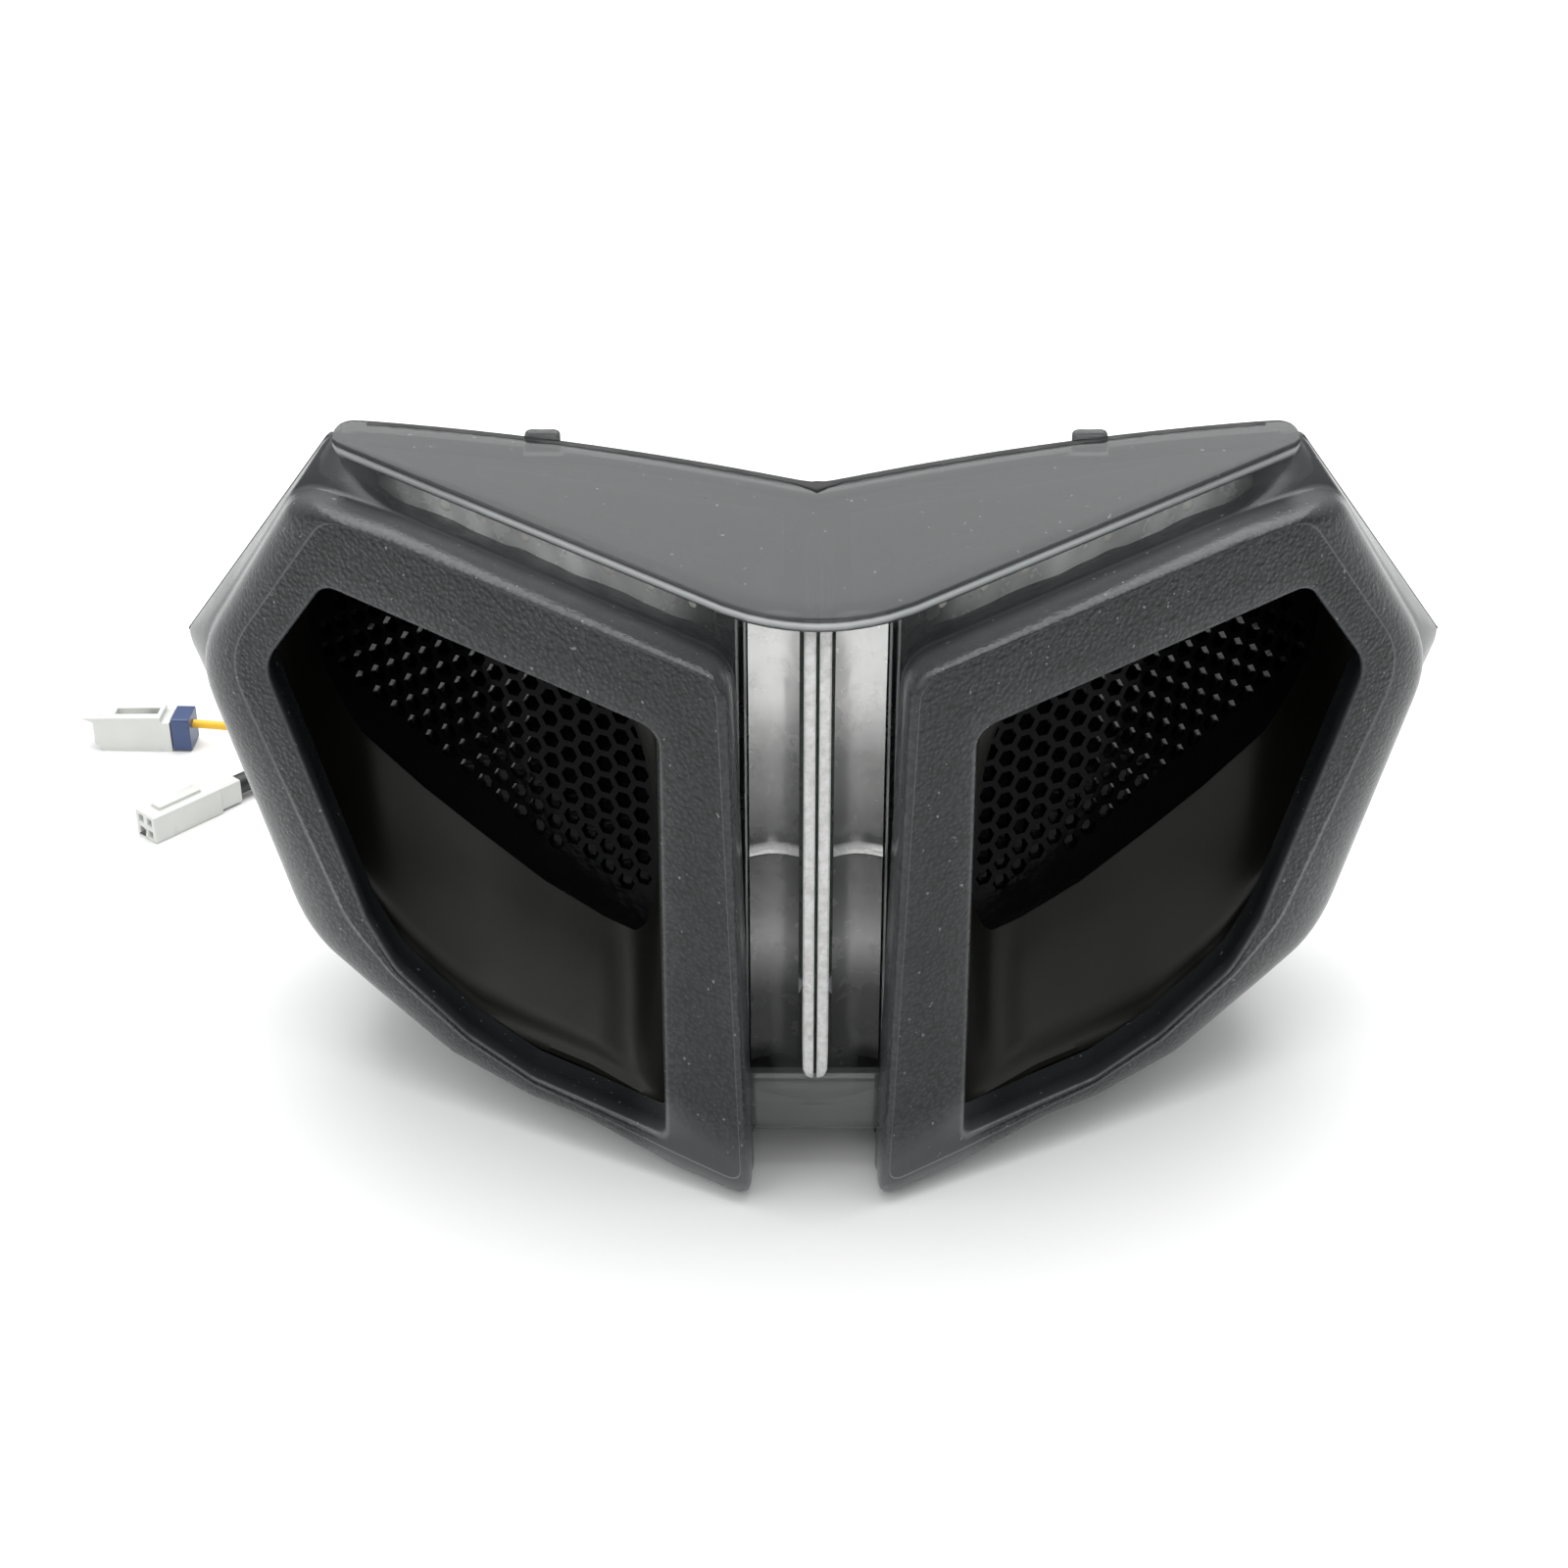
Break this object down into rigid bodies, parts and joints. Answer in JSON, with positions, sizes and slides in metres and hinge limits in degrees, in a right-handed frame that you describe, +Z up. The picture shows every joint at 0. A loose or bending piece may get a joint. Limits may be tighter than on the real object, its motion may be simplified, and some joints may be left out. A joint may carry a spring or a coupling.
{
  "type": "motorcycle tail light",
  "caption": "Smoked motorcycle tail light: two swept window frames with air ducts and mesh around a centre light column and top plate, on a sealed housing with leads and plugs.",
  "frame": {"origin": "under the middle of the lamp, on the plane its feet and frame tips stand on, halfway between the frame's front tips and the rear bosses", "axes": "+X to the right seen from behind the vehicle (looking at the lens), +Y from the lens towards the mounting face, +Z up"},
  "size_m": [0.2825, 0.1734, 0.126],
  "materials": {
    "smoked_lens": "smoked polycarbonate, grained on the frame faces",
    "housing": "moulded",
    "grille": "semi-gloss",
    "rubber": "matte",
    "bright": "vacuum-metallised",
    "board": "solder mask",
    "led_amber": "clear epoxy",
    "led_red": "clear epoxy",
    "led_clear": "clear epoxy",
    "clear": "clear acrylic",
    "chip": "epoxy package",
    "white": "natural nylon",
    "retainer": "dark blue nylon",
    "tin": "tinned",
    "steel": "zinc-plated",
    "brass": "turned",
    "cable": "PVC sleeve",
    "yellow": "PVC insulation"
  },
  "bodies": {
    "root": {"centre_light_guide": "clear", "column_board": "board", "column_leds": "led_red", "column_reflector": "bright", "column_screws": "steel", "connector_a": "white", "connector_a_retainer": "retainer", "connector_a_terminal": "tin", "connector_b": "white", "connector_b_cover": "white", "connector_b_terminals": "tin", "cover_gasket": "rubber", "cover_screws": "steel", "driver_board": "board", "driver_chips": "chip", "driver_coil": "chip", "driver_header": "white", "driver_screws": "steel", "driver_spacers": "brass", "foot_inserts": "brass", "foot_pads": "rubber", "lead_cable": "cable", "left_duct": "housing", "left_flange_gasket": "rubber", "left_grille": "grille", "left_plate_board": "board", "left_plate_leds": "led_red", "left_plate_tray": "bright", "left_turn_board": "board", "left_turn_leds": "led_amber", "left_turn_reflector": "bright", "lower_reflector": "bright", "number_plate_board": "board", "number_plate_leds": "led_clear", "number_plate_window": "clear", "plate_gasket": "rubber", "rear_cover": "housing", "rear_housing": "housing", "rear_inserts": "brass", "right_duct": "housing", "right_flange_gasket": "rubber", "right_grille": "grille", "right_plate_board": "board", "right_plate_leds": "led_red", "right_plate_tray": "bright", "right_turn_board": "board", "right_turn_leds": "led_amber", "right_turn_reflector": "bright", "smoked_lens": "smoked_lens", "vent_cap": "housing", "wire_grommet": "rubber", "yellow_wire": "yellow"}
  },
  "joints": []
}
